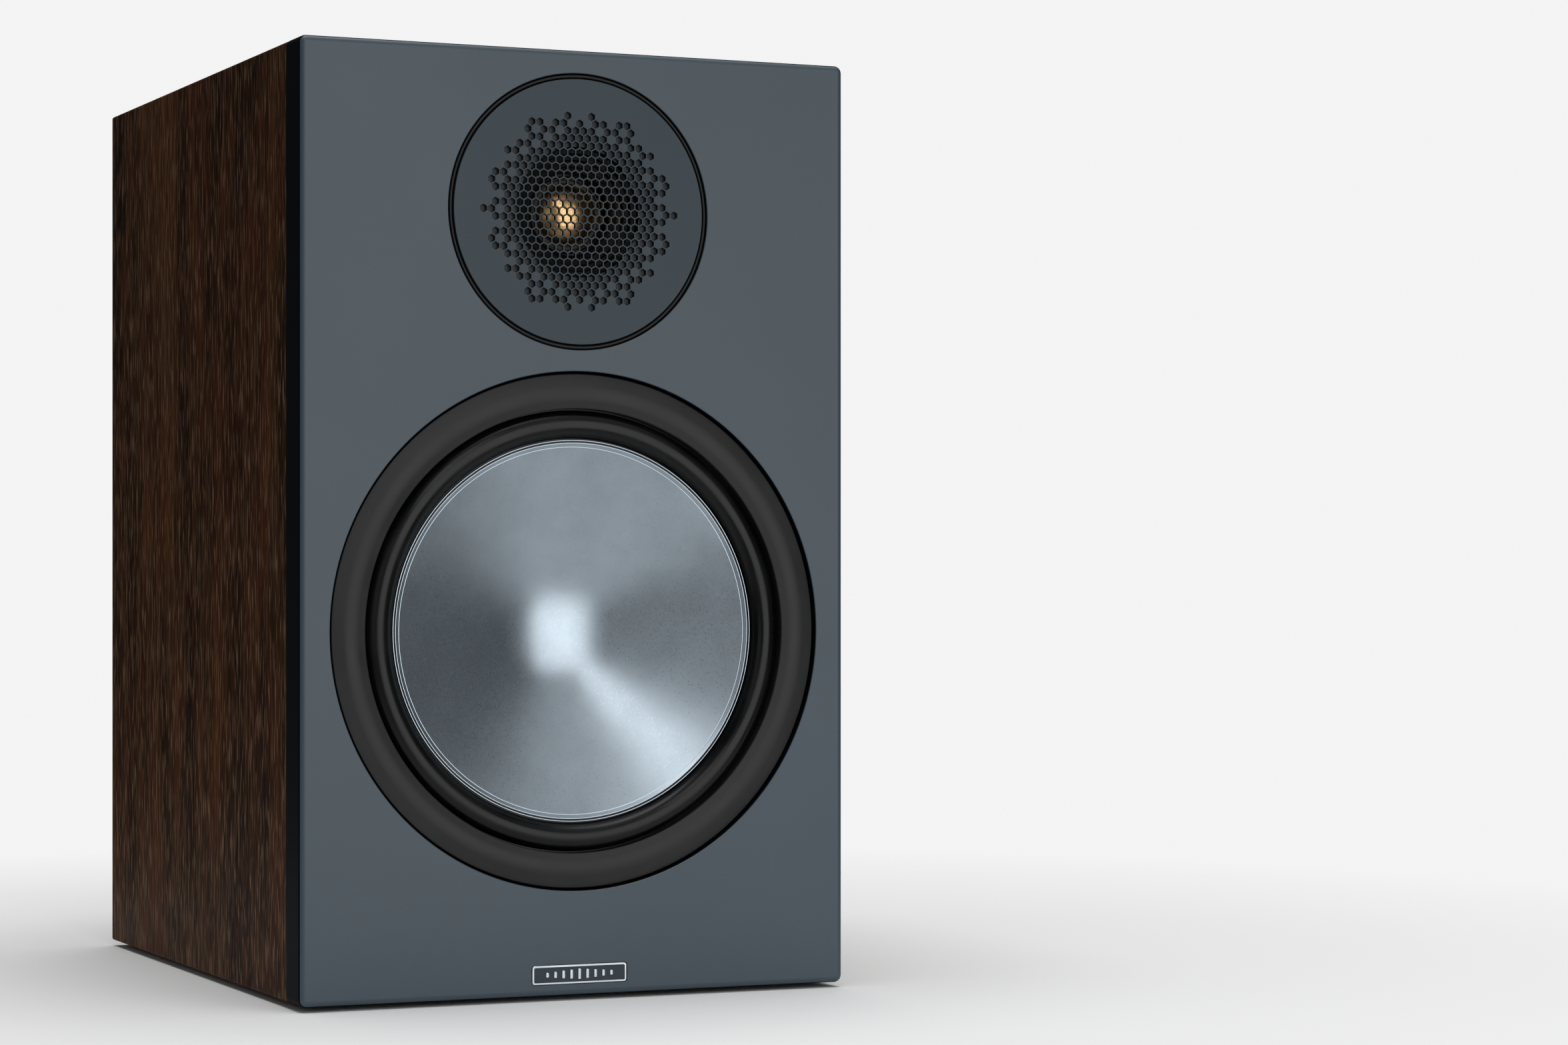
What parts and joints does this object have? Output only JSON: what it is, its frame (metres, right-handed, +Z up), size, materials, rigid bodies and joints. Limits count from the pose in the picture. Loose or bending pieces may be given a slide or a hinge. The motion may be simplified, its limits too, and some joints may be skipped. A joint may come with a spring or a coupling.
{
  "type": "bookshelf speaker",
  "caption": "Two-way bookshelf loudspeaker with a wood cabinet, metal-cone woofer, dome tweeter behind a perforated plate, rear port and screw-down terminals.",
  "frame": {"origin": "on the surface the speaker stands on, in the middle of its bounding box", "axes": "+Z up; -Y is the front, where the drivers face; +X is to the right of someone who looks at the front"},
  "size_m": [0.231, 0.309, 0.378],
  "materials": {
    "cabinet_wrap": "satin",
    "raw_board": "matte",
    "baffle_paint": "satin",
    "face_metal": "satin",
    "cone_metal": "satin",
    "gold_dome": "satin",
    "black_rubber": "matte",
    "trim_rubber": "matte",
    "black_plastic": "satin",
    "terminal_plastic": "satin",
    "red_plastic": "gloss",
    "cap_black": "gloss",
    "basket_metal": "matte",
    "steel": "satin",
    "ferrite": "matte",
    "gold_brass": "polished",
    "copper_wire": "satin",
    "coil_former": "matte",
    "spider_cloth": "matte",
    "board_green": "satin",
    "capacitor_film": "gloss",
    "resistor_ceramic": "matte",
    "lead_jacket": "satin",
    "absorbing_wool": "matte"
  },
  "bodies": {
    "cabinet": {"side_panel_left": "cabinet_wrap", "side_panel_right": "cabinet_wrap", "top_panel": "cabinet_wrap", "bottom_panel": "cabinet_wrap", "rear_panel": "cabinet_wrap", "front_baffle": "baffle_paint", "shelf_brace": "raw_board", "foot_front_left": "black_rubber", "foot_front_right": "black_rubber", "foot_rear_left": "black_rubber", "foot_rear_right": "black_rubber", "badge_plate": "face_metal", "woofer_trim_ring": "trim_rubber", "woofer_surround": "black_rubber", "woofer_spider": "spider_cloth", "woofer_basket": "basket_metal", "woofer_top_plate": "steel", "woofer_magnet": "ferrite", "woofer_pole_yoke": "steel", "woofer_terminal_strip": "coil_former", "tweeter_face_plate": "face_metal", "tweeter_seal_ring": "black_rubber", "tweeter_waveguide": "black_plastic", "tweeter_suspension": "black_rubber", "tweeter_top_plate": "steel", "tweeter_magnet": "ferrite", "tweeter_pole_yoke": "steel", "tweeter_rear_chamber": "black_plastic", "port_tube": "black_plastic", "terminal_plate": "terminal_plastic", "jumper_link_positive": "gold_brass", "jumper_link_negative": "gold_brass", "crossover_board": "board_green", "woofer_inductor": "copper_wire", "tweeter_inductor": "copper_wire", "tweeter_capacitor": "capacitor_film", "woofer_capacitor": "capacitor_film", "power_resistor": "resistor_ceramic", "woofer_lead": "lead_jacket", "tweeter_lead": "lead_jacket", "input_lead": "lead_jacket", "absorbing_pad_left": "absorbing_wool", "absorbing_pad_right": "absorbing_wool", "stud_high_positive": "gold_brass", "stud_high_negative": "gold_brass", "stud_low_positive": "gold_brass", "stud_low_negative": "gold_brass"},
    "woofer_moving_system": {"woofer_cone": "cone_metal", "woofer_coil_former": "coil_former", "woofer_coil_winding": "copper_wire"},
    "tweeter_moving_system": {"tweeter_dome": "gold_dome", "tweeter_voice_coil": "copper_wire"},
    "clamp_high_positive": {"washer_high_positive": "gold_brass"},
    "screw_high_positive": {"cap_high_positive": "red_plastic"},
    "clamp_high_negative": {"washer_high_negative": "gold_brass"},
    "screw_high_negative": {"cap_high_negative": "cap_black"},
    "clamp_low_positive": {"washer_low_positive": "gold_brass"},
    "screw_low_positive": {"cap_low_positive": "red_plastic"},
    "clamp_low_negative": {"washer_low_negative": "gold_brass"},
    "screw_low_negative": {"cap_low_negative": "cap_black"}
  },
  "joints": [
    {"name": "woofer_stroke", "type": "slide", "parent": "cabinet", "child": "woofer_moving_system", "axis": [0, -1, 0], "range_m": [-0.006, 0.006], "stiffness_N_per_m": 2200, "deforming": ["woofer_surround", "woofer_spider"]},
    {"name": "tweeter_stroke", "type": "slide", "parent": "cabinet", "child": "tweeter_moving_system", "axis": [0, -1, 0], "range_m": [-0.0004, 0.0004], "stiffness_N_per_m": 2500, "deforming": ["tweeter_suspension"]},
    {"name": "loosen_high_positive", "type": "slide", "parent": "cabinet", "child": "clamp_high_positive", "axis": [0, 1, 0], "range_m": [0, 0.004]},
    {"name": "unscrew_high_positive", "type": "hinge", "parent": "clamp_high_positive", "child": "screw_high_positive", "pos_m": [-0.0095, 0.1455, 0.117], "axis": [0, 1, 0], "range_deg": [0, 1441]},
    {"name": "loosen_high_negative", "type": "slide", "parent": "cabinet", "child": "clamp_high_negative", "axis": [0, 1, 0], "range_m": [0, 0.004]},
    {"name": "unscrew_high_negative", "type": "hinge", "parent": "clamp_high_negative", "child": "screw_high_negative", "pos_m": [0.0095, 0.1455, 0.117], "axis": [0, 1, 0], "range_deg": [0, 1441]},
    {"name": "loosen_low_positive", "type": "slide", "parent": "cabinet", "child": "clamp_low_positive", "axis": [0, 1, 0], "range_m": [0, 0.004]},
    {"name": "unscrew_low_positive", "type": "hinge", "parent": "clamp_low_positive", "child": "screw_low_positive", "pos_m": [-0.0095, 0.1455, 0.079], "axis": [0, 1, 0], "range_deg": [0, 1441]},
    {"name": "loosen_low_negative", "type": "slide", "parent": "cabinet", "child": "clamp_low_negative", "axis": [0, 1, 0], "range_m": [0, 0.004]},
    {"name": "unscrew_low_negative", "type": "hinge", "parent": "clamp_low_negative", "child": "screw_low_negative", "pos_m": [0.0095, 0.1455, 0.079], "axis": [0, 1, 0], "range_deg": [0, 1441]}
  ],
  "couplings": [
    {"joint": "unscrew_high_positive", "follows": "loosen_high_positive", "rad_per_m": 6283.2},
    {"joint": "unscrew_high_negative", "follows": "loosen_high_negative", "rad_per_m": 6283.2},
    {"joint": "unscrew_low_positive", "follows": "loosen_low_positive", "rad_per_m": 6283.2},
    {"joint": "unscrew_low_negative", "follows": "loosen_low_negative", "rad_per_m": 6283.2}
  ]
}
